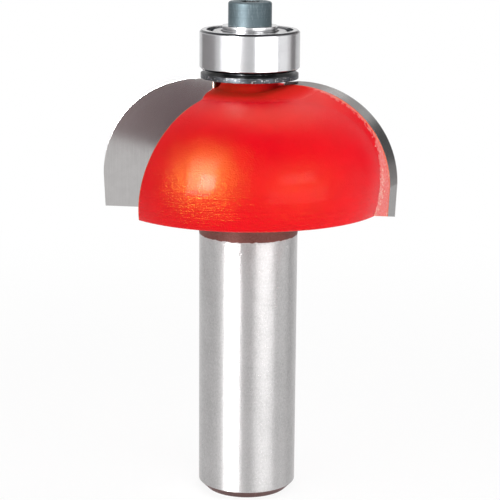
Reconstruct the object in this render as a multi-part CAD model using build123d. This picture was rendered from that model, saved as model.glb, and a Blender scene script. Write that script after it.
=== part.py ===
"""Two-flute cove router bit with a top-mounted pilot ball bearing.

The bit stands on the end of its shank, with its axis on Z and the two cutting edges on the X axis.
Seen from the bearing it turns counter-clockwise, so the edge at +X cuts towards +Y.
All sizes are in millimetres and degrees.
"""

from build123d import *
import os
from math import asin, cos, degrees, radians, sin, tan

# ---- Shank ----
shank_diameter = 12.7
shank_length = 38.1  # end face to the underside of the head
shank_end_chamfer = 1.0
unground_band_length = 3.9  # length under the head that the shank's grinding leaves
unground_band_step = 0.06  # how far that band stands proud of the ground shank
grinding_runout = 0.6  # length of the taper from the ground shank up to that band
underside_fillet = 0.5  # between that band and the head

# ---- Cutting profile ----
cove_radius = 12.7
flank_height = 4.3  # cutting edge below the centre of the cove
flank_taper = 0.2  # how far the edge falls inwards at its lower end
tip_overhang = 1.0  # tips below the underside of the head
tip_thickness = 1.9
tip_root_distance = 4.7  # axis to the inner edge of a tip
top_facet_fall = 0.15  # fall of a tip's top, from the cove to its inner edge
radial_relief = 23.0
axial_relief = 6.0
end_relief = 12.0  # rise of the lower ends of tip and pad, behind the edge
braze_thickness = 0.12

# ---- Head ----
head_relief = 1.2  # turned head inside the cutting circle
head_rim_fillet = 0.25
pad_radial_relief = 25.0
pad_axial_relief = 12.0
pad_depth = 7.0  # from the rake face back to where the pad has sunk into the head
pad_inner_radius = 4.9
neck_diameter = 7.2
neck_fillet = 1.0
shield_gap = 0.3  # tops of the tips to the shield washer

# ---- Gullets ----
gullet_angle = 55.5  # rake face to the far wall, seen along the axis
gullet_lean = 11.6  # of the far wall, towards the tip on its way down
gullet_floor_width = 3.95  # at the height of the cove's centre
gullet_floor_fillet = 2.2
runout_radius = 10.0  # sweeps the floor out of the head above the shank
runout_start = 5.9  # height above the underside where the sweep begins

# ---- Pilot bearing, 3/16 x 1/2 x 0.196 inch ----
bearing_bore = 4.7625
bearing_diameter = 12.7
bearing_width = 4.978
bearing_chamfer = 0.3
bore_chamfer = 0.15
ball_count = 7
ball_diameter = 2.381
ball_clearance = 0.02
race_conformity = 0.52  # groove radius as a share of the ball's diameter
inner_land_diameter = 7.0
outer_land_diameter = 10.4
cage_thickness = 0.2
cage_land_clearance = 0.3  # between the cage and each ring's land
pocket_clearance = 0.05
shield_seat_wall = 0.85  # outer ring left outside a shield's seat
shield_seat_depth = 0.75
shield_thickness = 0.2
shield_rise = 0.4  # raised middle of a shield above its rim
shield_inner_gap = 0.2
shield_rim_width = 0.5
snap_ring_width = 0.35
snap_ring_thickness = 0.25
snap_ring_opening = 30.0
snap_groove_depth = 0.15
snap_clearance = 0.02

# ---- Bearing mounting ----
post_clearance = 0.01
post_recess = 0.2  # post below the bearing's upper face
post_chamfer = 0.3
shield_washer_diameter = 12.4
shield_washer_thickness = 0.6
shield_washer_hub_diameter = 6.8
shield_washer_hub_height = 0.5
clamp_washer_diameter = 7.0
clamp_washer_thickness = 0.5
screw_diameter = 3.0
screw_length = 8.0
screw_head_diameter = 5.5
screw_head_height = 3.0
screw_head_edge = 0.3
screw_hole_clearance = 0.02
screw_hole_spare_depth = 1.0
washer_hole_clearance = 0.1
drill_point_angle = 118.0
hex_across_flats = 2.5
hex_depth = 1.6

# ---- Heights and radii that follow ----
shank_radius = shank_diameter / 2
pilot_radius = bearing_diameter / 2
head_bottom = shank_length
tip_bottom = head_bottom - tip_overhang
cove_centre_height = tip_bottom + flank_height
cutting_radius = pilot_radius + cove_radius
tip_top = cove_centre_height + cove_radius
head_arc_radius = cove_radius - head_relief
head_top = cove_centre_height + head_arc_radius
shoulder_height = tip_top + shield_gap
washer_top = shoulder_height + shield_washer_thickness
bearing_bottom = washer_top + shield_washer_hub_height
bearing_middle = bearing_bottom + bearing_width / 2
bearing_top = bearing_bottom + bearing_width
shield_seat_radius = pilot_radius - shield_seat_wall
post_radius = bearing_bore / 2 - post_clearance
post_top = bearing_top - post_recess
screw_seat = bearing_top + clamp_washer_thickness
screw_radius = screw_diameter / 2
screw_hole_radius = screw_radius + screw_hole_clearance
washer_hole_radius = screw_radius + washer_hole_clearance
post_hole_radius = post_radius + post_clearance
pitch_radius = (bearing_bore + bearing_diameter) / 4
ball_radius = ball_diameter / 2
groove_radius = race_conformity * ball_diameter
runout_height = head_bottom + runout_start
reach = 2 * cutting_radius  # past every surface of the head
wall_match = 0.001  # an edge this near a wall lies on it


def turned(outline):
    """Solid of revolution about Z of a closed outline drawn in radius and height."""
    return revolve(Plane.XZ * outline, Axis.Z)


def ring_outline(inner, outer, bottom, top):
    """Rectangle in radius and height."""
    return Pos((inner + outer) / 2, (bottom + top) / 2) * Rectangle(outer - inner, top - bottom)


def arc_point(centre, radius, angle):
    """Point of a circle, at an angle from the direction of growing radius."""
    return (centre[0] + radius * cos(radians(angle)), centre[1] + radius * sin(radians(angle)))


def arc(centre, radius, start, end):
    """Arc of a circle between two angles."""
    return ThreePointArc(*(arc_point(centre, radius, angle) for angle in (start, (start + end) / 2, end)))


# ---- Bit body ----

def turned_blank():
    """Shank, head, neck and bearing post with its screw hole, turned from one bar."""
    band_radius = shank_radius + unground_band_step
    band_bottom = head_bottom - unground_band_length
    cove_centre = (pilot_radius, cove_centre_height)
    rim_angle = -degrees(asin((cove_centre_height - head_bottom) / head_arc_radius))
    neck_radius = neck_diameter / 2
    fillet_centre = (neck_radius + neck_fillet, head_top + neck_fillet)
    hole_bottom = screw_seat - screw_length - screw_hole_spare_depth
    drill_point = screw_hole_radius / tan(radians(drill_point_angle / 2))
    rim = arc_point(cove_centre, head_arc_radius, rim_angle)
    shank = Polyline(
        (0, hole_bottom - drill_point),
        (0, 0),
        (shank_radius - shank_end_chamfer, 0),
        (shank_radius, shank_end_chamfer),
        (shank_radius, band_bottom),
        (band_radius, band_bottom + grinding_runout),
        (band_radius, head_bottom),
        rim,
    )
    dome = arc(cove_centre, head_arc_radius, rim_angle, 90)
    flat = Line((pilot_radius, head_top), (fillet_centre[0], head_top))
    neck = arc(fillet_centre, neck_fillet, 270, 180)
    post = Polyline(
        (neck_radius, fillet_centre[1]),
        (neck_radius, shoulder_height),
        (post_radius, shoulder_height),
        (post_radius, post_top - post_chamfer),
        (post_radius - post_chamfer, post_top),
        (screw_hole_radius, post_top),
        (screw_hole_radius, hole_bottom),
        (0, hole_bottom - drill_point),
    )
    outline = make_face([*shank.edges(), dome.edge(), flat.edge(), neck.edge(), *post.edges()])
    corner = outline.vertices().sort_by_distance(Vector(*rim))[0]
    outline = fillet(corner, head_rim_fillet)
    root = outline.vertices().sort_by_distance(Vector(band_radius, head_bottom))[0]
    outline = fillet(root, underside_fillet)
    return turned(outline)


def cutting_outline():
    """Full outline that a tip's edge cuts, drawn in X and Z and closed on the axis side."""
    flank_foot = (cutting_radius - flank_taper, tip_bottom)
    slope = flank_taper / flank_height
    below = (flank_foot[0] - slope * tip_bottom, 0)
    facet_slope = top_facet_fall / (pilot_radius - tip_root_distance)
    sides = Polyline((cutting_radius, cove_centre_height), flank_foot, below, (0, 0))
    cove = arc((pilot_radius, cove_centre_height), cove_radius, 90, 0)
    facet = Polyline((0, 0), (0, tip_top - facet_slope * pilot_radius), (pilot_radius, tip_top))
    return Plane.XZ * make_face([*sides.edges(), *facet.edges(), cove.edge()])


def root_outline(distance):
    """What lies outside the gullet's floor line, drawn in X and Z: upright, then swept outwards."""
    sweep_foot = (distance + runout_radius, runout_height - runout_radius)
    sweep = arc((distance + runout_radius, runout_height), runout_radius, 180, 270)
    rest = Polyline(
        sweep_foot,
        (reach + runout_radius, sweep_foot[1]),
        (reach + runout_radius, screw_seat),
        (distance, screw_seat),
        (distance, runout_height),
    )
    return Plane.XZ * make_face([sweep.edge(), *rest.edges()])


def swept_back(outline, start, depth, radial_angle, axial_angle):
    """Carries an X-Z outline backwards in -Y, sinking inwards and downwards as relief does."""
    run = Vector(-depth * tan(radians(radial_angle)), -depth, -depth * tan(radians(axial_angle)))
    return Solid.extrude(start * outline.face(), run)


def above_end_relief():
    """Everything above the rising lower end of tip and pad."""
    plane = Pos(0, 0, tip_bottom) * Rot(-end_relief, 0, 0)
    return plane * Pos(0, 0, reach) * Box(4 * reach, 4 * reach, 2 * reach)


def relieved_tip():
    """All that lies inside the tips' relieved surfaces, over the thickness of tip and seam."""
    depth = tip_thickness + braze_thickness
    sweep = swept_back(cutting_outline(), Pos(0, 0, 0), depth, radial_relief, axial_relief)
    return sweep & above_end_relief()


def behind_face(distance, depth):
    """Slab from the rake face back to a depth, outside the gullet's floor line."""
    return Solid.extrude(root_outline(distance).face(), Vector(0, -depth, 0))


def tip_pocket():
    """Seat of a tip and its seam, behind the rake face."""
    return behind_face(tip_root_distance - braze_thickness, tip_thickness + braze_thickness)


def support_pad():
    """Backing of a tip, which follows the cutting outline and sinks into the head behind it."""
    start_depth = tip_thickness + braze_thickness
    start = Pos(
        -start_depth * tan(radians(radial_relief)),
        -start_depth,
        -start_depth * tan(radians(axial_relief)),
    )
    depth = pad_depth - start_depth
    sweep = swept_back(cutting_outline(), start, depth, pad_radial_relief, pad_axial_relief)
    return (sweep & above_end_relief()) - Cylinder(pad_inner_radius, 4 * reach)


def gullet():
    """Chip space in front of a rake face, with an upright floor and a leaning far wall."""
    block = Solid.extrude(root_outline(tip_root_distance).face(), Vector(0, reach, 0))
    corner = Pos(tip_root_distance, gullet_floor_width, cove_centre_height)
    wall = corner * Rot(0, 0, gullet_angle) * Rot(-gullet_lean, 0, 0)
    space = block - wall * Pos(0, reach, 0) * Box(4 * reach, 2 * reach, 4 * reach)
    on_wall = [edge for edge in space.edges() if abs((wall.inverse() * edge).center().Y) < wall_match]
    floor_edges = [edge for edge in on_wall if edge.center().X < tip_root_distance + runout_radius / 2]
    return fillet(floor_edges, gullet_floor_fillet)


def bit_body():
    """One-piece steel body: turned blank with pads, gullets and tip seats."""
    body = turned_blank()
    for turn in (0, 180):
        body += Rot(0, 0, turn) * support_pad()
    for turn in (0, 180):
        body -= Rot(0, 0, turn) * (gullet() + tip_pocket())
    return body


def carbide_tip():
    return relieved_tip() & behind_face(tip_root_distance, tip_thickness)


def braze_seam():
    """Film of braze behind a tip and along its inner edge."""
    return (relieved_tip() & tip_pocket()) - behind_face(tip_root_distance, tip_thickness)


# ---- Pilot bearing, drawn about its middle plane ----

def half_width_outline(inner, outer):
    return ring_outline(inner, outer, -bearing_width / 2, bearing_width / 2)


def bearing_inner_ring():
    outline = half_width_outline(bearing_bore / 2, inner_land_diameter / 2)
    outline = chamfer(outline.vertices().group_by(Axis.X)[0], bore_chamfer)
    groove_centre = pitch_radius - ball_radius - ball_clearance + groove_radius
    return turned(outline - Pos(groove_centre, 0) * Circle(groove_radius))


def bearing_outer_ring():
    outline = half_width_outline(outer_land_diameter / 2, pilot_radius)
    outline = chamfer(outline.vertices().group_by(Axis.X)[-1], bearing_chamfer)
    groove_centre = pitch_radius + ball_radius + ball_clearance - groove_radius
    outline -= Pos(groove_centre, 0) * Circle(groove_radius)
    seat = ring_outline(0, shield_seat_radius, bearing_width / 2 - shield_seat_depth, bearing_width)
    seat += snap_ring_outline(snap_clearance)
    return turned(outline - seat - mirror(seat, Plane.XZ))


def snap_ring_outline(growth=0):
    """Section of the ring that holds the upper shield, grown on every side to cut its groove."""
    outer = shield_seat_radius + snap_groove_depth - snap_clearance + growth
    bottom = bearing_width / 2 - shield_seat_depth + shield_thickness + snap_clearance - growth
    return ring_outline(
        outer - snap_ring_width - 2 * growth,
        outer,
        bottom,
        bottom + snap_ring_thickness + 2 * growth,
    )


def snap_ring():
    """Flat split ring that holds the upper shield."""
    return revolve(Plane.XZ * snap_ring_outline(), Axis.Z, 360 - snap_ring_opening)


def bearing_shield():
    """Upper shield: a pressed disc with a flat rim and a raised middle."""
    step = bearing_width / 2 - shield_seat_depth
    outer = shield_seat_radius - snap_clearance
    bend = outer - shield_rim_width
    raised = bend - shield_rise
    inner = inner_land_diameter / 2 + shield_inner_gap
    lower = [(outer, step), (bend, step), (raised, step + shield_rise), (inner, step + shield_rise)]
    upper = [(radius, height + shield_thickness) for radius, height in reversed(lower)]
    return turned(make_face(Polyline(*lower, *upper, close=True)))


def ball_place(index):
    return Rot(0, 0, 360 * index / ball_count) * Pos(pitch_radius, 0, 0)


def pocket_roll(index, radius):
    """Cylinder that lies along the bearing's radius through a ball's centre."""
    reach = (outer_land_diameter - inner_land_diameter) / 2 + 2 * cage_thickness
    return ball_place(index) * Rot(0, 90, 0) * Cylinder(radius, reach)


def cage_half():
    """Upper half of the ribbon cage: a flat ring that rises in an arch over each ball."""
    pocket_radius = ball_radius + pocket_clearance
    inner = inner_land_diameter / 2 + cage_land_clearance
    outer = outer_land_diameter / 2 - cage_land_clearance
    ribbon = turned(ring_outline(inner, outer, 0, cage_thickness))
    for index in range(ball_count):
        ribbon += pocket_roll(index, pocket_radius + cage_thickness)
    for index in range(ball_count):
        ribbon -= pocket_roll(index, pocket_radius)
    return ribbon & turned(ring_outline(inner, outer, 0, bearing_width))


# ---- Bearing mounting ----

def shield_washer():
    """Washer that keeps dust out of the bearing, with a hub that carries the inner ring."""
    bore = post_hole_radius
    flange = ring_outline(bore, shield_washer_diameter / 2, shoulder_height, washer_top)
    hub = ring_outline(bore, shield_washer_hub_diameter / 2, washer_top, bearing_bottom)
    return turned(flange + hub)


def clamp_washer():
    """Washer between the screw's head and the bearing's inner ring."""
    return turned(ring_outline(washer_hole_radius, clamp_washer_diameter / 2, bearing_top, screw_seat))


def cap_screw():
    """Socket head cap screw that holds the bearing on its post."""
    head = Pos(0, 0, screw_head_height / 2) * Cylinder(screw_head_diameter / 2, screw_head_height)
    head = fillet(head.edges().sort_by(Axis.Z)[-1], screw_head_edge)
    shank = Pos(0, 0, -screw_length / 2) * Cylinder(screw_radius, screw_length)
    socket = RegularPolygon(hex_across_flats / 2, 6, major_radius=False)
    socket = Pos(0, 0, screw_head_height - hex_depth) * extrude(socket, hex_depth)
    return Pos(0, 0, screw_seat) * (head + shank - socket)


# ---- Assembly ----

def assembly():
    """Every piece under its own name, in place."""
    pieces = {"bit_body": bit_body()}
    for index, turn in enumerate((0, 180), start=1):
        pieces[f"carbide_tip_{index}"] = Rot(0, 0, turn) * carbide_tip()
        pieces[f"braze_seam_{index}"] = Rot(0, 0, turn) * braze_seam()
    at_bearing = Pos(0, 0, bearing_middle)
    pieces["bearing_inner_ring"] = at_bearing * bearing_inner_ring()
    pieces["bearing_outer_ring"] = at_bearing * bearing_outer_ring()
    for index in range(ball_count):
        pieces[f"bearing_ball_{index + 1}"] = at_bearing * ball_place(index) * Sphere(ball_radius)
    paired = {"ball_cage": cage_half(), "bearing_shield": bearing_shield(), "snap_ring": snap_ring()}
    for name, piece in paired.items():
        pieces[f"{name}_upper"] = at_bearing * piece
        pieces[f"{name}_lower"] = at_bearing * mirror(piece, Plane.XY)
    pieces["shield_washer"] = shield_washer()
    pieces["clamp_washer"] = clamp_washer()
    pieces["cap_screw"] = cap_screw()
    return pieces


os.makedirs("parts", exist_ok=True)
for name, piece in assembly().items():
    export_step(piece, f"parts/{name}.step")
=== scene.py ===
import math

import bmesh
import bpy
from bpy.props import FloatProperty, FloatVectorProperty, PointerProperty
from bpy.types import Operator, Panel, PropertyGroup
from mathutils import Matrix, Vector


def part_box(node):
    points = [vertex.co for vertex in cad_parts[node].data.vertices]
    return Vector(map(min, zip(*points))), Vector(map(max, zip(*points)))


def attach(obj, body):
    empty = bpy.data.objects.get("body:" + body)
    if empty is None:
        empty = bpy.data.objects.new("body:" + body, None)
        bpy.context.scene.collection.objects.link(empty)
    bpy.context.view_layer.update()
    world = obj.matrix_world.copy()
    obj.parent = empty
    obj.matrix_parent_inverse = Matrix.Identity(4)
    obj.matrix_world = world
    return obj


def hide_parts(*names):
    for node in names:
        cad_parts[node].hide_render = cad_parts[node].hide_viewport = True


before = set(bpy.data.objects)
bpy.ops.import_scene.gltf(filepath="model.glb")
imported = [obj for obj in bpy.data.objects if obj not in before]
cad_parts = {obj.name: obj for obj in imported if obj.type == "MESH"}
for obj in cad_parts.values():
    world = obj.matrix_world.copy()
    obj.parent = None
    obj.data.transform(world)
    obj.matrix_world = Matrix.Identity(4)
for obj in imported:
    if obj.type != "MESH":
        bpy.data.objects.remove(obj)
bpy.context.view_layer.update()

bl_info = {
    "name": "Cove Bit Finishes",
    "version": (1, 0, 0),
    "blender": (4, 5, 0),
    "location": "View3D > Sidebar > Cove Bit",
    "description": "Finishes a cove bit with a pilot bearing and sets it on a pale studio table",
    "category": "Object",
}

MM = 0.001
MERGE_DISTANCE = 1e-7

# Heights along the bit's axis, from the shank's end up, in metres.
CHAMFER_TOP = 1.0 * MM
GRINDING_END = 34.2 * MM
HEAD_UNDERSIDE = 38.1 * MM
# A little more than the shank's radius, and a little less than any height that is told apart.
SHANK_REACH = 6.6 * MM
HAIR = 0.01 * MM

# The circle that the cove's arc is struck from, and the dome's own radius about it.
COVE_CIRCLE_RADIUS = 6.35 * MM
COVE_CIRCLE_HEIGHT = 41.4 * MM
DOME_ARC_RADIUS = 11.5 * MM

# How far behind a tip's cutting face the ground land reaches, near the top and at the foot of its pad, where it
# starts behind the tip, how sharply it ends, and how far its edges wander.
LAND_TOP_REACH = 2.35 * MM
LAND_FOOT_REACH = 5.2 * MM
LAND_START = (1.0 * MM, 1.2 * MM)
LAND_END = (-0.08 * MM, 0.10 * MM)
LAND_WANDER = 2.4 * MM
LAND_ARC_WANDER = 0.6 * MM

# Heights between which a finish comes in, from none of it to all of it.
LAND_WIDENS = (49.0 * MM, 39.5 * MM)
CRUMBS_START = (44.6 * MM, 43.6 * MM)
CLEAR_COAT_START = (47.6 * MM, 45.4 * MM)
TURNING_START = (43.8 * MM, 42.0 * MM)
CHAMFER_SCALE_START = (12.0 * MM, 8.0 * MM)

# Distances from the axis between which a finish comes in.
LAND_RIM = (7.6 * MM, 9.4 * MM)
WORN_AND_HIGHLIT_RIM = (10.6 * MM, 11.4 * MM)
DULL_NECK = (9.6 * MM, 7.6 * MM)
COATED_SEAM = (5.2 * MM, 6.2 * MM)

# Colours that lie on the finishes or show through them.
COAT_TINT = (1.0, 0.84, 0.08, 1.0)
SCUFFED_COAT = (0.82, 0.31, 0.29)
CREAM_SPECK = (0.90, 0.72, 0.52)
CRUMB = (0.90, 0.76, 0.62)
# Orange for the coat's outer edges: partly thin worn coat, partly a painted edge highlight.
THIN_COAT_AND_EDGE_HIGHLIGHT = (0.93, 0.25, 0.06)
SHANK_EDGE = (0.66, 0.65, 0.64)
SCALE_GRAIN = (0.36, 0.17, 0.15)
SCALE_EDGE = (0.5, 0.36, 0.33)
CARBIDE_EDGE = (0.62, 0.60, 0.58)
BRAZE_GRAIN = (0.74, 0.66, 0.54)
BRAZE_STAIN = (0.50, 0.30, 0.24)
COATED_BRAZE = (0.84, 0.075, 0.016)
TURNED_CHAMFER = (0.05, 0.05, 0.055)
BLUED_EDGE = (0.30, 0.28, 0.27)
BLUED_STAIN = (0.010, 0.012, 0.014)
DUST = (0.42, 0.41, 0.41)
OXIDE_EDGE = (0.26, 0.29, 0.30)
OXIDE_STREAK = (0.26, 0.31, 0.33)
# Painted shade inside the screw's socket.
SOCKET_PAINTED_SHADE = (0.006, 0.007, 0.008)


# ---------------------------------------------------------------- settings

def colour(name, text, default):
    return FloatVectorProperty(name=name, description=text, subtype="COLOR", size=3, min=0.0, max=1.0,
                               default=default)


def length(name, text, default, low=0.00002, high=0.002):
    return FloatProperty(name=name, description=text, subtype="DISTANCE", unit="LENGTH", default=default,
                         min=low, max=high, precision=5)


def share(name, text, default, high=1.0):
    return FloatProperty(name=name, description=text, subtype="FACTOR", default=default, min=0.0, max=high)


def brightness(name, text, default, high=20.0):
    return FloatProperty(name=name, description=text, default=default, min=0.0, max=high)


class CoatSettings(PropertyGroup):
    red: colour("Coat", "Colour of the baked coat on the head", (0.76, 0.0015, 0.012))
    land: colour("Ground land", "Colour of the coat where grinding has thinned it", (0.75, 0.075, 0.075))
    roughness: share("Coat roughness", "How dull the coat is", 0.18)
    grain: length("Coat grain", "Size of the coat's fine grain", 0.00018)
    turning: length("Turning pitch", "Distance between the turning lines that show through the coat", 0.00016)


class SteelSettings(PropertyGroup):
    ground: colour("Ground steel", "Colour of the ground shank", (0.50, 0.49, 0.49))
    # The unground band's colour is dark partly as painted shade of the head above it.
    scale: colour("Unground band", "Colour of the heat-darkened band under the head", (0.125, 0.036, 0.028))
    chamfer: colour("End chamfer", "Colour of the shank's chamfered end", (0.150, 0.072, 0.068))
    polished: colour("Bearing steel", "Colour of the bearing's polished rings and balls", (0.46, 0.46, 0.47))
    pressed: colour("Pressed steel", "Colour of the bearing's shields and cage", (0.40, 0.40, 0.41))
    bright: colour("Clamp washer", "Colour of the bright washer", (0.56, 0.56, 0.57))
    blued: colour("Shield washer", "Colour of the dark washer under the bearing and of the snap rings",
                  (0.036, 0.042, 0.052))
    oxide: colour("Screw", "Colour of the black oxide screw", (0.062, 0.088, 0.100))
    grinding: length("Grinding pitch", "Distance between the shank's grinding lines", 0.00013)


class CarbideSettings(PropertyGroup):
    face: colour("Carbide", "Colour of the ground carbide", (0.48, 0.468, 0.463))
    braze: colour("Braze", "Colour of the silver braze", (0.62, 0.50, 0.38))
    roughness: share("Carbide roughness", "How dull the ground face is", 0.06)


class StageSettings(PropertyGroup):
    floor: colour("Floor", "Colour of the floor and backdrop", (0.94, 0.94, 0.94))
    left_light: brightness("Left soft box", "Brightness of the tall light on the left", 0.95)
    core_light: brightness("Left core", "Brightness of the two small lights at the left that show only in gloss",
                           46.0, 100.0)
    right_light: brightness("Right soft box", "Brightness of the lights on the right and behind", 1.9)
    front_light: brightness("Front fill", "Brightness of the low light from the front", 0.45)
    top_light: brightness("Top soft box", "Brightness of the lights overhead", 1.6)
    room: share("Room light", "Brightness of the light from all round", 0.30, 2.0)


# ---------------------------------------------------------------- nodes

class Wiring:
    """Adds nodes to one tree and joins them."""

    def __init__(self, tree):
        self.tree = tree

    def add(self, kind, settings=None, **inputs):
        """A new node. The settings are its own, the inputs go to its sockets, with _ for a space."""
        node = self.tree.nodes.new(kind)
        for name, value in (settings or {}).items():
            setattr(node, name, value)
        for name, value in inputs.items():
            self.feed(node, name.replace("_", " "), value)
        return node

    def feed(self, node, socket, value):
        """Sets or links one input, named by its label or, as i0, i1 and so on, by its place."""
        numbered = socket[0] == "i" and socket[1:].isdigit()
        target = node.inputs[int(socket[1:])] if numbered else node.inputs[socket]
        if isinstance(value, bpy.types.NodeSocket):
            self.tree.links.new(value, target)
        elif isinstance(value, (tuple, list)) and len(value) == 3 and target.type == "RGBA":
            target.default_value = (*value, 1.0)
        else:
            target.default_value = value

    def math(self, operation, a, b=0.0, clamp=False):
        node = self.tree.nodes.new("ShaderNodeMath")
        node.operation = operation
        node.use_clamp = clamp
        self.feed(node, "i0", a)
        self.feed(node, "i1", b)
        return node.outputs[0]

    def times(self, a, b):
        return self.math("MULTIPLY", a, b)

    def ramp(self, value, low, high, smooth=True):
        """0 below low, 1 above high, or the other way about where low is the larger."""
        node = self.tree.nodes.new("ShaderNodeMapRange")
        node.interpolation_type = "SMOOTHSTEP" if smooth else "LINEAR"
        for name, item in (("Value", value), ("From Min", low), ("From Max", high)):
            self.feed(node, name, item)
        return node.outputs["Result"]

    def mix(self, amount, a, b):
        """Colour a turning into colour b."""
        node = self.tree.nodes.new("ShaderNodeMix")
        node.data_type = "RGBA"
        for socket, value in (("i0", amount), ("i6", a), ("i7", b)):
            self.feed(node, socket, value)
        return node.outputs[2]

    def lay(self, base, over, mask, most=1.0):
        """Lays a colour over the base by the mask, by at most the given share."""
        return self.mix(mask if most == 1.0 else self.times(mask, most), base, over)

    def blend(self, amount, a, b):
        """Value a turning into value b."""
        node = self.tree.nodes.new("ShaderNodeMix")
        for socket, value in (("i0", amount), ("i2", a), ("i3", b)):
            self.feed(node, socket, value)
        return node.outputs[0]

    def hypotenuse(self, a, b):
        return self.math("SQRT", self.math("ADD", self.times(a, a), self.times(b, b)))

    def places(self, where):
        """The three coordinates of a point and its distance from the bit's axis."""
        x, y, z = self.add("ShaderNodeSeparateXYZ", Vector=where).outputs
        return x, y, z, self.hypotenuse(x, y)

    def seen(self):
        """1 for rays from the eye, off gloss or through glass, 0 for those that only carry light."""
        path = self.add("ShaderNodeLightPath").outputs
        shown = self.math("ADD", path["Is Camera Ray"], path["Is Glossy Ray"], clamp=True)
        return self.math("ADD", shown, path["Is Transmission Ray"], clamp=True)

    def group(self, name, **inputs):
        node = self.tree.nodes.new("ShaderNodeGroup")
        node.node_tree = bpy.data.node_groups[name]
        for key, value in inputs.items():
            self.feed(node, key.replace("_", " "), value)
        return node


def fresh_wiring(owner):
    """Wiring for a material's or a world's own tree, emptied."""
    owner.use_nodes = True
    owner.node_tree.nodes.clear()
    return Wiring(owner.node_tree)


def new_group(name, inputs, outputs):
    tree = bpy.data.node_groups.new(name, "ShaderNodeTree")
    for label, kind, default in inputs:
        socket = tree.interface.new_socket(name=label, in_out="INPUT", socket_type=kind)
        if default is not None:
            socket.default_value = default
    for label, kind in outputs:
        tree.interface.new_socket(name=label, in_out="OUTPUT", socket_type=kind)
    wire = Wiring(tree)
    return wire, wire.add("NodeGroupInput"), wire.add("NodeGroupOutput")


def make_fine_grain():
    """Fine grain: a value that changes from grain to grain, and slow blotches."""
    wire, come, go = new_group("fine_grain", [("Vector", "NodeSocketVector", None),
                                              ("Grain Size", "NodeSocketFloat", 0.0001)],
                               [("Value", "NodeSocketFloat"), ("Blotch", "NodeSocketFloat")])
    per_metre = wire.math("DIVIDE", 1.0, come.outputs["Grain Size"])
    fine = wire.add("ShaderNodeTexNoise", Vector=come.outputs["Vector"], Scale=per_metre, Detail=2.0, Roughness=0.6)
    slow = wire.add("ShaderNodeTexNoise", Vector=come.outputs["Vector"], Scale=wire.times(per_metre, 0.045),
                    Detail=3.0, Roughness=0.6)
    wire.feed(go, "Value", wire.ramp(fine.outputs["Fac"], 0.3, 0.7, False))
    wire.feed(go, "Blotch", wire.ramp(slow.outputs["Fac"], 0.32, 0.68))


def make_lines_round_axis():
    """Lathe or grinding lines round the axis, by height and by distance from the axis."""
    wire, come, go = new_group("lines_round_axis", [("Vector", "NodeSocketVector", None),
                                                    ("Pitch", "NodeSocketFloat", 0.00015)],
                               [("Height", "NodeSocketFloat")])
    y, z, radius = wire.places(come.outputs["Vector"])[1:]
    along = wire.add("ShaderNodeCombineXYZ", X=radius, Z=z, Y=wire.times(y, 0.02))
    lines = wire.add("ShaderNodeTexNoise", Vector=along.outputs[0],
                     Scale=wire.math("DIVIDE", 1.0, come.outputs["Pitch"]), Detail=3.0, Roughness=0.65)
    wire.feed(go, "Height", lines.outputs["Fac"])


def make_specks():
    """Small separate specks of a given size, covering a given share."""
    wire, come, go = new_group("specks", [("Vector", "NodeSocketVector", None), ("Size", "NodeSocketFloat", 0.0003),
                                          ("Share", "NodeSocketFloat", 0.1)], [("Mask", "NodeSocketFloat")])
    cells = wire.add("ShaderNodeTexVoronoi", Vector=come.outputs["Vector"],
                     Scale=wire.math("DIVIDE", 1.0, come.outputs["Size"]))
    lot = wire.add("ShaderNodeSeparateColor", Color=cells.outputs["Color"]).outputs[0]
    spot = wire.ramp(cells.outputs["Distance"], 0.5, 0.25)
    wire.feed(go, "Mask", wire.times(spot, wire.math("LESS_THAN", lot, come.outputs["Share"])))


def make_worn_edges():
    """Edges rounded by handling: a mask along them and the rounded normal."""
    wire, come, go = new_group("worn_edges", [("Radius", "NodeSocketFloat", 0.0001)],
                               [("Mask", "NodeSocketFloat"), ("Normal", "NodeSocketVector")])
    rounded = wire.add("ShaderNodeBevel", {"samples": 6}, Radius=come.outputs["Radius"])
    flat = wire.add("ShaderNodeNewGeometry")
    agree = wire.add("ShaderNodeVectorMath", {"operation": "DOT_PRODUCT"})
    wire.feed(agree, "i0", rounded.outputs[0])
    wire.feed(agree, "i1", flat.outputs["Normal"])
    wire.feed(go, "Mask", wire.ramp(agree.outputs["Value"], 0.985, 0.86))
    wire.feed(go, "Normal", rounded.outputs[0])


def new_finish(name, **constants):
    """A material with its own Principled shader. Returns it, its wiring, the shader and the object coordinates."""
    material = bpy.data.materials.new(name)
    wire = fresh_wiring(material)
    shader = wire.add("ShaderNodeBsdfPrincipled", **constants)
    wire.add("ShaderNodeOutputMaterial", Surface=shader.outputs[0])
    return material, wire, shader, wire.add("ShaderNodeTexCoord").outputs["Object"]


def bump(wire, height, strength, distance, normal=None):
    """The normal of a surface that is raised by the height, by at most the distance in metres."""
    node = wire.add("ShaderNodeBump", Height=height, Strength=strength, Distance=distance)
    if normal is not None:
        wire.feed(node, "Normal", normal)
    return node.outputs[0]


def shade(base, part):
    """The colour made darker or lighter by a factor."""
    return tuple(min(1.0, channel * part) for channel in base)


# ---------------------------------------------------------------- finishes

def land_mask(wire, place, arc, ragged):
    """The ground land behind each tip: a narrow strip near the top that widens to the whole pad lower down."""
    x, y, z, radius = place
    behind = wire.times(wire.times(y, -1.0), wire.math("SIGN", x))
    reach = wire.math("ADD", LAND_TOP_REACH,
                      wire.times(wire.ramp(z, *LAND_WIDENS), LAND_FOOT_REACH - LAND_TOP_REACH))
    short = wire.math("SUBTRACT", reach, wire.math("ADD", behind, wire.times(ragged, LAND_WANDER)))
    on_arc = wire.ramp(wire.math("ADD", arc, wire.times(ragged, LAND_ARC_WANDER)),
                       DOME_ARC_RADIUS - 0.12 * MM, DOME_ARC_RADIUS - 0.06 * MM)
    ground = wire.times(wire.ramp(short, *LAND_END), on_arc)
    ground = wire.times(ground, wire.ramp(behind, *LAND_START))
    return wire.times(ground, wire.ramp(radius, *LAND_RIM))


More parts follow.
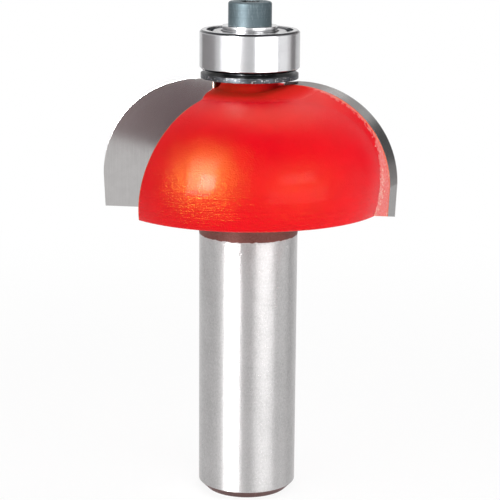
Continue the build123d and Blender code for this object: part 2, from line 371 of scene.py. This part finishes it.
def land_colour(wire, where, place, arc, land):
    """The thinned coat on the land, scuffed and specked, with crumbs of braze and steel at its inner edge."""
    scuff = wire.group("fine_grain", Vector=where, Grain_Size=0.00021)
    cream = wire.group("specks", Vector=where, Size=0.00034, Share=0.07)
    crumbs = wire.group("specks", Vector=where, Size=0.00028, Share=0.55)
    border = wire.times(wire.ramp(arc, DOME_ARC_RADIUS + 0.10 * MM, DOME_ARC_RADIUS - 0.02 * MM),
                        wire.ramp(place[2], *CRUMBS_START))
    fleck = wire.mix(scuff.outputs["Value"], land, SCUFFED_COAT)
    fleck = wire.lay(fleck, CREAM_SPECK, cream.outputs[0], 0.8)
    return wire.lay(fleck, CRUMB, wire.times(crumbs.outputs[0], border))


def coat_finish(settings):
    """The red baked coat. Its neck is rough, its clear top covers only the lower dome, and its outer edges are
    painted orange, partly as worn coat and partly as a painted edge highlight.
    """
    material, wire, shader, where = new_finish("baked_coat", Specular_IOR_Level=0.12, Specular_Tint=COAT_TINT,
                                               Coat_Roughness=0.11, Coat_IOR=1.36)
    place = wire.places(where)
    z, radius = place[2:]
    arc = wire.hypotenuse(wire.math("SUBTRACT", radius, COVE_CIRCLE_RADIUS),
                          wire.math("SUBTRACT", z, COVE_CIRCLE_HEIGHT))
    grain = wire.group("fine_grain", Vector=where, Grain_Size=settings.grain)
    lines = wire.group("lines_round_axis", Vector=where, Pitch=settings.turning)
    torn = wire.add("ShaderNodeTexNoise", Vector=where, Scale=2600.0, Detail=4.0, Roughness=0.7)
    ground = land_mask(wire, place, arc, wire.math("SUBTRACT", torn.outputs["Fac"], 0.5))
    wear = wire.group("worn_edges", Radius=0.00026)
    # Outer edges painted orange: partly thin worn coat, partly a painted edge highlight.
    thin_coat_and_edge_highlight = wire.times(wear.outputs["Mask"], wire.ramp(grain.outputs["Blotch"], 0.0, 0.6))
    thin_coat_and_edge_highlight = wire.times(thin_coat_and_edge_highlight, wire.ramp(radius, *WORN_AND_HIGHLIT_RIM))

    red = tuple(settings.red)
    coat = wire.mix(grain.outputs["Blotch"], red, shade(red, 0.94))
    body = wire.mix(ground, coat, land_colour(wire, where, place, arc, tuple(settings.land)))
    wire.feed(shader, "Base Color", wire.lay(body, THIN_COAT_AND_EDGE_HIGHLIGHT, thin_coat_and_edge_highlight, 0.95))
    dull = wire.blend(grain.outputs["Value"], settings.roughness - 0.05, settings.roughness + 0.07)
    dull = wire.blend(wire.ramp(radius, *DULL_NECK), dull, 0.85)
    wire.feed(shader, "Roughness", wire.blend(ground, dull, 0.55))
    wire.feed(shader, "Coat Weight", wire.times(wire.blend(ground, 0.10, 0.0), wire.ramp(z, *CLEAR_COAT_START)))
    # Grain all over, and turning lines that show through towards the foot of the dome.
    turned = wire.blend(wire.ramp(z, *TURNING_START), 0.5, 5.5)
    height = wire.math("ADD", wire.times(grain.outputs["Value"], 1.7), wire.times(lines.outputs["Height"], turned))
    wire.feed(shader, "Normal", bump(wire, height, 0.50, 0.000030, wear.outputs["Normal"]))
    return material


def shank_finish(settings):
    """The ground shank, brushed round its axis, with a few pits."""
    material, wire, shader, where = new_finish("ground_shank", Metallic=1.0, Anisotropic=0.95,
                                               Anisotropic_Rotation=0.25)
    drawn = wire.add("ShaderNodeMapping", Vector=where, Scale=(1.0, 1.0, 0.62))
    grain = wire.group("fine_grain", Vector=drawn.outputs[0], Grain_Size=0.00017)
    lines = wire.group("lines_round_axis", Vector=where, Pitch=settings.grinding)
    pits = wire.group("specks", Vector=where, Size=0.00020, Share=0.03)
    wear = wire.group("worn_edges", Radius=0.00012)
    light = tuple(settings.ground)
    base = wire.lay(light, shade(light, 0.80), wire.ramp(lines.outputs["Height"], 0.42, 0.66), 0.30)
    base = wire.lay(base, shade(light, 0.60), grain.outputs["Value"], 0.6)
    base = wire.lay(base, shade(light, 1.15), grain.outputs["Blotch"], 0.25)
    base = wire.lay(base, shade(light, 0.45), pits.outputs[0], 0.28)
    wire.feed(shader, "Base Color", wire.lay(base, SHANK_EDGE, wear.outputs["Mask"], 0.4))
    wire.feed(shader, "Roughness", wire.blend(grain.outputs["Value"], 0.27, 0.38))
    height = wire.math("ADD", wire.times(lines.outputs["Height"], 0.35), grain.outputs["Value"])
    wire.feed(shader, "Normal", bump(wire, height, 0.45, 0.000016, wear.outputs["Normal"]))
    turn = wire.add("ShaderNodeTangent", {"direction_type": "RADIAL", "axis": "Z"})
    wire.feed(shader, "Tangent", turn.outputs[0])
    return material


def band_with_painted_shade_finish(settings):
    """The band left unground under the head, dark partly as painted shade of the head, and the chamfered end, also
    dark.
    """
    material, wire, shader, where = new_finish("band_with_painted_shade", Metallic=0.15, Specular_IOR_Level=0.12)
    z = wire.places(where)[2]
    grain = wire.group("fine_grain", Vector=where, Grain_Size=0.00012)
    lines = wire.group("lines_round_axis", Vector=where, Pitch=0.0002)
    wear = wire.group("worn_edges", Radius=0.00015)
    at_end = wire.ramp(z, *CHAMFER_SCALE_START)
    # The band's colour is dark partly as painted shade of the head above it.
    band = wire.mix(grain.outputs["Blotch"], tuple(settings.scale), shade(settings.scale, 0.72))
    band = wire.lay(band, SCALE_GRAIN, grain.outputs["Value"], 0.35)
    end = wire.mix(grain.outputs["Value"], tuple(settings.chamfer), shade(settings.chamfer, 0.75))
    base = wire.mix(at_end, band, end)
    # Grinding stops at a ragged line, so bright metal runs up into the band.
    torn = wire.add("ShaderNodeTexNoise", Vector=where, Scale=1500.0, Detail=4.0, Roughness=0.65)
    height = wire.math("ADD", z, wire.times(wire.math("SUBTRACT", torn.outputs["Fac"], 0.5), 0.5 * MM))
    bright = wire.times(wire.ramp(height, GRINDING_END + 0.16 * MM, GRINDING_END + 0.06 * MM),
                        wire.math("SUBTRACT", 1.0, at_end))
    base = wire.mix(bright, base, tuple(settings.ground))
    wire.feed(shader, "Base Color", wire.lay(base, SCALE_EDGE, wear.outputs["Mask"], 0.35))
    wire.feed(shader, "Roughness", wire.blend(grain.outputs["Value"], 0.42, 0.56))
    rough = wire.math("ADD", grain.outputs["Value"], lines.outputs["Height"])
    wire.feed(shader, "Normal", bump(wire, rough, 0.25, 0.00003, wear.outputs["Normal"]))
    return material


def carbide_finish(settings):
    """The tips: a bright face with fine slanting grinding lines, and darker flanks."""
    material, wire, shader, where = new_finish("ground_carbide", Metallic=1.0)
    grain = wire.group("fine_grain", Vector=where, Grain_Size=0.00007)
    wear = wire.group("worn_edges", Radius=0.00008)
    turned = wire.add("ShaderNodeMapping", Vector=where, Rotation=(0.0, math.radians(35.0), 0.0),
                      Scale=(1.0, 0.02, 0.015))
    strokes = wire.add("ShaderNodeTexNoise", Vector=turned.outputs[0], Scale=9000.0, Detail=3.0,
                       Roughness=0.6).outputs["Fac"]
    flank = wire.ramp(wire.math("ABSOLUTE", wire.places(where)[1]), 0.03 * MM, 0.08 * MM)
    light = tuple(settings.face)
    base = wire.mix(wire.ramp(strokes, 0.35, 0.65), light, shade(light, 0.95))
    base = wire.lay(base, shade(light, 0.8), grain.outputs["Blotch"], 0.25)
    base = wire.lay(base, shade(light, 0.58), flank, 0.75)
    wire.feed(shader, "Base Color", wire.lay(base, CARBIDE_EDGE, wear.outputs["Mask"], 0.5))
    face_gloss = wire.blend(strokes, settings.roughness * 0.7, settings.roughness * 1.5)
    wire.feed(shader, "Roughness", wire.blend(flank, face_gloss, 0.25))
    wire.feed(shader, "Normal", bump(wire, strokes, 0.010, 0.000003, wear.outputs["Normal"]))
    return material


def braze_finish(settings):
    """Silver braze, with the coat run over the seam's outer edge."""
    material, wire, shader, where = new_finish("silver_braze", Specular_IOR_Level=0.2)
    grain = wire.group("fine_grain", Vector=where, Grain_Size=0.00016)
    coated = wire.ramp(wire.places(where)[3], *COATED_SEAM)
    base = wire.mix(grain.outputs["Value"], tuple(settings.braze), BRAZE_GRAIN)
    base = wire.lay(base, BRAZE_STAIN, grain.outputs["Blotch"], 0.5)
    wire.feed(shader, "Metallic", wire.blend(coated, 0.6, 0.0))
    wire.feed(shader, "Base Color", wire.mix(coated, base, COATED_BRAZE))
    wire.feed(shader, "Roughness", wire.blend(grain.outputs["Value"], 0.30, 0.48))
    wire.feed(shader, "Normal", bump(wire, grain.outputs["Value"], 0.4, 0.00004))
    return material


def turned_metal(name, light, roughness, pitch, depth=0.00001, metallic=1.0, edge=None, darker=0.85, radius=0.00008,
                 sheen=0.5, spread=0.4):
    """Metal turned or ground round the axis: the bearing's rings, the washers and the screw. Returns the material,
    its wiring, the shader, the object coordinates and the colour that the shader is fed."""
    material, wire, shader, where = new_finish(name, Metallic=metallic, Specular_IOR_Level=sheen)
    grain = wire.group("fine_grain", Vector=where, Grain_Size=0.0001)
    lines = wire.group("lines_round_axis", Vector=where, Pitch=pitch).outputs["Height"]
    wear = wire.group("worn_edges", Radius=radius)
    base = wire.mix(wire.ramp(lines, 0.38, 0.66), light, shade(light, darker))
    base = wire.lay(base, shade(light, 0.82), grain.outputs["Blotch"], 0.3)
    base = wire.lay(base, edge or shade(light, 1.3), wear.outputs["Mask"], 0.5)
    wire.feed(shader, "Base Color", base)
    wire.feed(shader, "Roughness", wire.blend(lines, roughness * (1.0 - spread), roughness * (1.0 + spread)))
    wire.feed(shader, "Normal", bump(wire, lines, 0.12, depth, wear.outputs["Normal"]))
    return material, wire, shader, where, base


def ring_finish(settings):
    """The bearing's rings and balls. The outer ring's chamfers are darker than its ground faces."""
    material, wire, shader, where, base = turned_metal("polished_ring", tuple(settings.polished), roughness=0.20,
                                                       pitch=0.00011, depth=0.000003, darker=0.96, spread=0.1)
    low, high = (Vector(corner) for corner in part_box("bearing_outer_ring"))
    z, radius = wire.places(where)[2:]
    end = wire.math("ABSOLUTE", wire.math("SUBTRACT", z, (low.z + high.z) / 2))
    half_height = (high.z - low.z) / 2
    chamfer = wire.times(wire.ramp(end, half_height - 0.27 * MM, half_height - 0.23 * MM),
                         wire.ramp(radius, high.x - 0.30 * MM, high.x - 0.26 * MM))
    wire.feed(shader, "Base Color", wire.mix(chamfer, base, TURNED_CHAMFER))
    return material


def blued_finish(settings):
    """The dark washer, stained, chipped and dusty."""
    material, wire, shader, where, base = turned_metal("blued_washer", tuple(settings.blued), roughness=0.38,
                                                       pitch=0.00018, depth=0.00002, metallic=0.60,
                                                       edge=BLUED_EDGE, darker=0.7)
    chips = wire.group("specks", Vector=where, Size=0.00030, Share=0.10)
    dust = wire.group("specks", Vector=where, Size=0.00018, Share=0.20)
    spots = wire.math("MAXIMUM", wire.times(chips.outputs[0], 0.6), wire.times(dust.outputs[0], 0.7))
    stain = wire.add("ShaderNodeTexNoise", Vector=where, Scale=1700.0, Detail=4.0, Roughness=0.7)
    stained = wire.mix(wire.ramp(stain.outputs["Fac"], 0.44, 0.60), base, BLUED_STAIN)
    wire.feed(shader, "Base Color", wire.mix(spots, stained, DUST))
    return material


def oxide_finish(settings):
    """The black oxide screw, with pale streaks along its axis, and its socket painted near black as painted shade."""
    metallic = 0.36
    material, wire, shader, where, base = turned_metal("black_oxide", tuple(settings.oxide), roughness=0.54,
                                                       pitch=0.00012, metallic=metallic, edge=OXIDE_EDGE,
                                                       darker=0.88, radius=0.00016, sheen=0.20, spread=0.2)
    drawn = wire.add("ShaderNodeMapping", Vector=where, Scale=(1.0, 1.0, 0.22))
    streaks = wire.add("ShaderNodeTexNoise", Vector=drawn.outputs[0], Scale=4200.0, Detail=4.0, Roughness=0.7)
    base = wire.lay(base, OXIDE_STREAK, wire.ramp(streaks.outputs["Fac"], 0.48, 0.70), 0.20)
    head = Vector(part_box("cap_screw")[1])
    z, radius = wire.places(where)[2:]
    # The socket is painted near black and not metallic: painted shade in the recess.
    painted_socket_shade = wire.times(wire.ramp(radius, head.x * 0.62, head.x * 0.58),
                        wire.ramp(z, head.z - 0.03 * MM, head.z - 0.10 * MM))
    wire.feed(shader, "Base Color", wire.mix(painted_socket_shade, base, SOCKET_PAINTED_SHADE))
    wire.feed(shader, "Metallic", wire.blend(painted_socket_shade, metallic, 0.0))
    return material


# ---------------------------------------------------------------- pieces

def dress(names, material):
    """Gives CAD nodes a material through their objects' slots."""
    for name in names:
        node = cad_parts[name]
        if not node.material_slots:
            node.data.materials.append(None)
        for held in node.material_slots:
            held.link = "OBJECT"
            held.material = material


def placed(name, data):
    """A new object in the scene for a mesh, a lamp or a camera."""
    held = bpy.data.objects.new(name, data)
    bpy.context.scene.collection.objects.link(held)
    return held


def mesh_object(name, bm, materials):
    """An object with the shape that was built, which is freed, and its materials."""
    mesh = bpy.data.meshes.new(name)
    bm.to_mesh(mesh)
    bm.free()
    for material in materials:
        mesh.materials.append(material)
    return placed(name, mesh)


def finished_piece(name, bm, materials, body, stands_for):
    """A piece that rides on a body and takes the place of CAD nodes."""
    piece = mesh_object(name, bm, materials)
    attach(piece, body)
    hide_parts(*stands_for)


def merged_copy(node_name):
    """The node's mesh with its loose triangles joined, in metres."""
    bm = bmesh.new()
    bm.from_mesh(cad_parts[node_name].data)
    bmesh.ops.remove_doubles(bm, verts=bm.verts, dist=MERGE_DISTANCE)
    return bm


def soften(bm, angle=28.0):
    """Smooth shading that breaks at every edge sharper than the angle."""
    limit = math.radians(angle)
    for face in bm.faces:
        face.smooth = True
    for edge in bm.edges:
        edge.smooth = len(edge.link_faces) == 2 and edge.calc_face_angle(0.0) < limit


class COVEBIT_OT_blank(Operator):
    """Finish the one-piece steel body: ground shank, unground band dark partly as painted shade of the head, chamfer,
    coated head
    """
    bl_idname = "covebit.blank"
    bl_label = "Steel Body"

    def execute(self, context):
        steel = context.scene.cove_steel
        bm = merged_copy("bit_body")
        for height in (CHAMFER_TOP, GRINDING_END, HEAD_UNDERSIDE):
            bmesh.ops.bisect_plane(bm, geom=bm.verts[:] + bm.edges[:] + bm.faces[:], dist=MERGE_DISTANCE,
                                   plane_co=(0.0, 0.0, height), plane_no=(0.0, 0.0, 1.0))
        for face in bm.faces:
            middle = face.calc_center_median()
            on_shank = math.hypot(middle.x, middle.y) < SHANK_REACH
            if on_shank and CHAMFER_TOP < middle.z < GRINDING_END:
                face.material_index = 1
            elif on_shank and middle.z < HEAD_UNDERSIDE - HAIR:
                face.material_index = 2
        soften(bm)
        finishes = [coat_finish(context.scene.cove_coat), shank_finish(steel), band_with_painted_shade_finish(steel)]
        finished_piece("bit_blank", bm, finishes, "bit", ["bit_body"])
        return {"FINISHED"}


class COVEBIT_OT_tips(Operator):
    """Finish the two carbide tips and the silver braze behind them"""
    bl_idname = "covebit.tips"
    bl_label = "Carbide Tips"

    def execute(self, context):
        settings = context.scene.cove_carbide
        dress(["carbide_tip_1", "carbide_tip_2"], carbide_finish(settings))
        dress(["braze_seam_1", "braze_seam_2"], braze_finish(settings))
        return {"FINISHED"}


class COVEBIT_OT_bearing(Operator):
    """Finish the pilot bearing: rings, balls, cage, shields and snap rings"""
    bl_idname = "covebit.bearing"
    bl_label = "Pilot Bearing"

    def execute(self, context):
        steel = context.scene.cove_steel
        ring = ring_finish(steel)
        # The snap rings are dark and barely metallic, partly as painted shade in the shield's recess.
        snap_ring_steel_and_shade = turned_metal("snap_ring_steel_and_recess_shade", tuple(steel.blued), roughness=0.50, pitch=0.00012, metallic=0.2,
                              sheen=0.2)[0]
        pressed = turned_metal("pressed_shield", tuple(steel.pressed), roughness=0.22, pitch=0.00016)[0]
        dress(["bearing_outer_ring", "bearing_inner_ring"], ring)
        dress([f"bearing_ball_{number}" for number in range(1, 8)], ring)
        dress(["bearing_shield_upper", "bearing_shield_lower", "ball_cage_upper", "ball_cage_lower"], pressed)
        dress(["snap_ring_upper", "snap_ring_lower"], snap_ring_steel_and_shade)
        return {"FINISHED"}


class COVEBIT_OT_washers(Operator):
    """Finish the dark shield washer under the bearing and the bright clamp washer on it"""
    bl_idname = "covebit.washers"
    bl_label = "Washers"

    def execute(self, context):
        steel = context.scene.cove_steel
        dress(["clamp_washer"], turned_metal("bright_washer", tuple(steel.bright), roughness=0.20, pitch=0.00012)[0])
        dress(["shield_washer"], blued_finish(steel))
        return {"FINISHED"}


class COVEBIT_OT_screw(Operator):
    """Finish the cap screw that clamps the bearing"""
    bl_idname = "covebit.screw"
    bl_label = "Cap Screw"

    def execute(self, context):
        dress(["cap_screw"], oxide_finish(context.scene.cove_steel))
        return {"FINISHED"}


# ---------------------------------------------------------------- stage

# Where the viewer stands, over the floor and to one side, and how the view is aimed, in metres, degrees and
# millimetres of lens. The pan is the tangent of a small turn to the right.
VIEW_DISTANCE = 0.2214
VIEW_HEIGHT = 0.0838
VIEW_SIDE = 8.54
VIEW_PITCH = 13.181
VIEW_ROLL = 0.443
VIEW_LENS = 126.43
VIEW_SENSOR = 36.0
VIEW_PAN = 1.77 / 1756.0
VIEW_CLIP = (0.005, 20.0)

# The floor runs from front to back and then sweeps up, in metres and degrees.
FLOOR_HALF_WIDTH = 1.6
FLOOR_FRONT = -0.55
FLOOR_BACK = 1.2
SWEEP_RADIUS = 0.5
SWEEP_ANGLE = 80.0
PAPER_GRAIN = (0.82, 0.82, 0.82)
# Beyond the second distance from the middle the floor is plain white to the eye. Within the first it is white by this
# share, and lit paper for the rest, so that the shadow shows faintly.
SHADOW_FADES = (0.05, 0.16)
WHITE_NEAR_BIT = 0.90

# The felts that cards are covered with: deep and light colour, and the colour that the left end is faded to.
FELTS = {
    "card_felt": ((0.082, 0.034, 0.041), (0.125, 0.054, 0.064), (0.44, 0.34, 0.35)),
    "card_slate": ((0.052, 0.052, 0.056), (0.080, 0.080, 0.084), None),
    "card_pale": ((0.70, 0.66, 0.65), (0.78, 0.74, 0.73), None),
    "card_grey": ((0.42, 0.40, 0.40), (0.50, 0.48, 0.48), None),
}
FADE_ACROSS = (-0.056, -0.086)

# The cards: felt, width, height, middle, turn about the vertical, and lean, where 90 degrees is upright.
CARDS = (
    ("front_card", "card_felt", 0.115, 0.022, (-0.068, -0.257, 0.0111), 45.0, 90.0),
    ("side_card", "card_slate", 0.17, 0.150, (0.231, 0.193, 0.118), 130.0, 90.0),
    ("left_card", "card_grey", 0.26, 0.050, (-0.245, 0.060, 0.0255), 76.0, 90.0),
    ("right_card", "card_grey", 0.14, 0.050, (0.205, 0.120, 0.0255), 120.0, 90.0),
    ("back_card", "card_pale", 0.34, 0.150, (0.035, 0.262, 0.205), 8.0, 121.0),
    ("top_card", "card_slate", 0.30, 0.17, (0.015, -0.115, 0.33), 0.0, 0.0),
)

# The lamps face a point on the axis. For each: turn to the right of the viewer's side, height angle, distance, width,
# height, the brightness that it follows, its share of that, and what it shows in. One for gloss alone adds no light
# to a surface's own colour.
AIM_HEIGHT = 0.045
WATTS_FOR_BRIGHTNESS = 4.0  # for each square metre of lamp
LIGHTS_ALL, LIGHTS_GLOSS, LIGHTS_COLOUR = (True, True), (False, True), (True, False)  # (diffuse, glossy)
LAMPS = (
    ("left_soft_box", -45.5, 18.0, 0.27, 0.26, 0.36, "left_light", 1.0, LIGHTS_ALL),
    ("left_halo", -40.0, 23.0, 0.25, 0.090, 0.24, "core_light", 0.62, LIGHTS_GLOSS),
    ("left_core", -33.0, 14.0, 0.24, 0.058, 0.070, "core_light", 1.4, LIGHTS_GLOSS),
    ("right_soft_box", 39.0, 14.0, 0.27, 0.27, 0.24, "right_light", 1.0, LIGHTS_COLOUR),
    ("right_glint", 40.0, 17.0, 0.25, 0.12, 0.045, "right_light", 4.2, LIGHTS_GLOSS),
    ("front_soft_box", 0.0, 8.0, 0.32, 0.30, 0.12, "front_light", 1.0, LIGHTS_COLOUR),
    ("back_soft_box", 180.0, 38.0, 0.45, 0.40, 0.25, "right_light", 1.1, LIGHTS_COLOUR),
    ("low_right_box", 39.0, -2.0, 0.24, 0.22, 0.07, "right_light", 1.9, LIGHTS_GLOSS),
    ("far_right_box", 88.0, -2.0, 0.20, 0.13, 0.07, "right_light", 0.3, LIGHTS_ALL),
    ("top_soft_box", 150.0, 68.0, 0.34, 0.30, 0.20, "top_light", 1.0, LIGHTS_COLOUR),
    ("top_glint", 165.0, 72.0, 0.34, 0.20, 0.10, "top_light", 2.2, LIGHTS_GLOSS),
    ("high_glint", 147.0, 47.0, 0.34, 0.080, 0.025, "top_light", 4.5, LIGHTS_GLOSS),
)


def floor_finish(colours):
    """Pale paper, white to the eye and in reflections, on which only a faint shadow shows near the bit."""
    material = bpy.data.materials.new("pale_floor")
    wire = fresh_wiring(material)
    where = wire.add("ShaderNodeTexCoord").outputs["Object"]
    paper = wire.add("ShaderNodeTexNoise", Vector=where, Scale=900.0, Detail=2.0)
    tint = wire.lay(tuple(colours.floor), PAPER_GRAIN, paper.outputs["Fac"], 0.06)
    lit = wire.add("ShaderNodeBsdfDiffuse", Color=tint)
    white = wire.add("ShaderNodeEmission", Color=(1.0, 1.0, 1.0), Strength=1.0)
    away = wire.add("ShaderNodeVectorMath", {"operation": "LENGTH"})
    wire.feed(away, "i0", where)
    whiteness = wire.blend(wire.ramp(away.outputs["Value"], *SHADOW_FADES), WHITE_NEAR_BIT, 1.0)
    both = wire.add("ShaderNodeMixShader", i0=wire.times(wire.seen(), whiteness), i1=lit.outputs[0],
                    i2=white.outputs[0])
    wire.add("ShaderNodeOutputMaterial", Surface=both.outputs[0])
    return material


def stage_floor(colours):
    """A floor that sweeps up into a backdrop."""
    bm = bmesh.new()
    front = bm.verts.new((-FLOOR_HALF_WIDTH, FLOOR_FRONT, 0.0))
    back = bm.verts.new((-FLOOR_HALF_WIDTH, FLOOR_BACK, 0.0))
    bm.edges.new((front, back))
    bmesh.ops.spin(bm, geom=[back], cent=(-FLOOR_HALF_WIDTH, FLOOR_BACK, SWEEP_RADIUS), axis=(1.0, 0.0, 0.0),
                   angle=math.radians(SWEEP_ANGLE), steps=16)
    moved = bmesh.ops.extrude_edge_only(bm, edges=bm.edges[:])["geom"]
    bmesh.ops.translate(bm, vec=(2.0 * FLOOR_HALF_WIDTH, 0.0, 0.0),
                        verts=[held for held in moved if isinstance(held, bmesh.types.BMVert)])
    bmesh.ops.remove_doubles(bm, verts=bm.verts, dist=1e-6)
    bmesh.ops.recalc_face_normals(bm, faces=bm.faces)
    if sum(face.normal.z for face in bm.faces) < 0:
        bmesh.ops.reverse_faces(bm, faces=bm.faces)
    for face in bm.faces:
        face.smooth = True
    mesh_object("studio_floor", bm, [floor_finish(colours)])


def card_felt(name, deep, light, faded):
    """Card covered in felt, faded towards its left end where a faded colour is given."""
    material, wire, shader, where = new_finish(name, Roughness=0.9)
    grain = wire.add("ShaderNodeTexNoise", Vector=where, Scale=700.0, Detail=3.0)
    base = wire.mix(grain.outputs["Fac"], deep, light)
    if faded:
        base = wire.mix(wire.ramp(wire.places(where)[0], *FADE_ACROSS, False), base, faded)
    wire.feed(shader, "Base Color", base)
    return material


def felt_card(name, felt, width, height, middle, azimuth, lean):
    """A flat card beside or over the table, hidden from the viewer, for bright metal and the coat to show."""
    bm = bmesh.new()
    sheet = bmesh.ops.create_grid(bm, x_segments=1, y_segments=1, size=0.5)
    bmesh.ops.scale(bm, vec=(width, height, 1.0), verts=sheet["verts"])
    for angle, axis in ((lean, "X"), (azimuth, "Z")):
        bmesh.ops.rotate(bm, cent=(0.0, 0.0, 0.0), matrix=Matrix.Rotation(math.radians(angle), 3, axis),
                         verts=bm.verts)
    bmesh.ops.translate(bm, vec=middle, verts=bm.verts)
    card = mesh_object(name, bm, [felt])
    card.visible_camera = False


def soft_box(name, azimuth, elevation, distance, width, height, strength, shows_in):
    """A rectangular lamp that faces the point it is aimed at."""
    lamp = bpy.data.lights.new(name, "AREA")
    lamp.shape = "RECTANGLE"
    lamp.size = width
    lamp.size_y = height
    lamp.energy = strength * WATTS_FOR_BRIGHTNESS * width * height
    holder = placed(name, lamp)
    turn = math.radians(azimuth + VIEW_SIDE)
    lift = math.radians(elevation)
    way = Vector((math.sin(turn) * math.cos(lift), -math.cos(turn) * math.cos(lift), math.sin(lift)))
    holder.location = Vector((0.0, 0.0, AIM_HEIGHT)) + way * distance
    holder.rotation_euler = way.to_track_quat("Z", "Y").to_euler()
    holder.visible_diffuse, holder.visible_glossy = shows_in
    holder.visible_camera = False


def viewer():
    """The camera, where the viewer stands."""
    turn, pitch, roll = (math.radians(value) for value in (VIEW_SIDE, VIEW_PITCH, VIEW_ROLL))
    ahead = Vector((-math.sin(turn) * math.cos(pitch), math.cos(turn) * math.cos(pitch), -math.sin(pitch)))
    right = Vector((math.cos(turn), math.sin(turn), 0.0))
    above = right.cross(ahead)
    across = right * math.cos(roll) + above * math.sin(roll)
    ahead = (ahead + across * VIEW_PAN).normalized()
    across = (across - ahead * across.dot(ahead)).normalized()
    above = across.cross(ahead)
    lens = bpy.data.cameras.new("viewer")
    lens.lens = VIEW_LENS
    lens.sensor_width = VIEW_SENSOR
    lens.clip_start, lens.clip_end = VIEW_CLIP
    camera = placed("viewer", lens)
    place = Matrix((across, above, -ahead)).transposed().to_4x4()
    place.translation = Vector((VIEW_DISTANCE * math.sin(turn), -VIEW_DISTANCE * math.cos(turn), VIEW_HEIGHT))
    camera.matrix_world = place
    bpy.context.scene.camera = camera


def room_light(strength):
    """Soft light from all round, white to the eye and in reflections."""
    world = bpy.data.worlds.new("studio_room")
    wire = fresh_wiring(world)
    soft = wire.add("ShaderNodeBackground", Color=(1.0, 1.0, 1.0), Strength=strength)
    white = wire.add("ShaderNodeBackground", Color=(1.0, 1.0, 1.0), Strength=1.0)
    both = wire.add("ShaderNodeMixShader", i0=wire.seen(), i1=soft.outputs[0], i2=white.outputs[0])
    wire.add("ShaderNodeOutputWorld", Surface=both.outputs[0])
    bpy.context.scene.world = world


class COVEBIT_OT_stage(Operator):
    """Set the floor, the cards, the soft boxes and the viewer"""
    bl_idname = "covebit.stage"
    bl_label = "Studio"

    def execute(self, context):
        settings = context.scene.cove_stage
        stage_floor(settings)
        felts = {name: card_felt(name, *colours) for name, colours in FELTS.items()}
        for name, felt, *measures in CARDS:
            felt_card(name, felts[felt], *measures)
        for name, azimuth, elevation, distance, width, height, level, part, shows_in in LAMPS:
            soft_box(name, azimuth, elevation, distance, width, height, getattr(settings, level) * part, shows_in)
        room_light(settings.room)
        viewer()
        context.scene.view_settings.view_transform = "Standard"
        return {"FINISHED"}


class COVEBIT_PT_panel(Panel):
    """Lists the bit's pieces and its studio"""
    bl_idname = "COVEBIT_PT_panel"
    bl_label = "Cove Bit"
    bl_space_type = "VIEW_3D"
    bl_region_type = "UI"
    bl_category = "Cove Bit"

    def draw(self, context):
        layout = self.layout
        for operator in OPERATORS:
            layout.operator(operator.bl_idname)
        for name, _ in SETTINGS:
            settings = getattr(context.scene, name)
            box = layout.box()
            for prop in settings.__annotations__:
                box.prop(settings, prop)


SETTINGS = (("cove_coat", CoatSettings), ("cove_steel", SteelSettings), ("cove_carbide", CarbideSettings),
            ("cove_stage", StageSettings))
OPERATORS = (COVEBIT_OT_blank, COVEBIT_OT_tips, COVEBIT_OT_bearing, COVEBIT_OT_washers, COVEBIT_OT_screw,
             COVEBIT_OT_stage)


def register():
    for name, group in SETTINGS:
        bpy.utils.register_class(group)
        setattr(bpy.types.Scene, name, PointerProperty(type=group))
    for operator in OPERATORS:
        bpy.utils.register_class(operator)
    bpy.utils.register_class(COVEBIT_PT_panel)


def unregister():
    bpy.utils.unregister_class(COVEBIT_PT_panel)
    for operator in reversed(OPERATORS):
        bpy.utils.unregister_class(operator)
    for name, group in reversed(SETTINGS):
        delattr(bpy.types.Scene, name)
        bpy.utils.unregister_class(group)


def main():
    register()
    for make_effect in (make_fine_grain, make_lines_round_axis, make_specks, make_worn_edges):
        make_effect()
    bpy.ops.covebit.blank()
    bpy.ops.covebit.tips()
    bpy.ops.covebit.bearing()
    bpy.ops.covebit.washers()
    bpy.ops.covebit.screw()
    bpy.ops.covebit.stage()


if __name__ == "__main__":
    main()
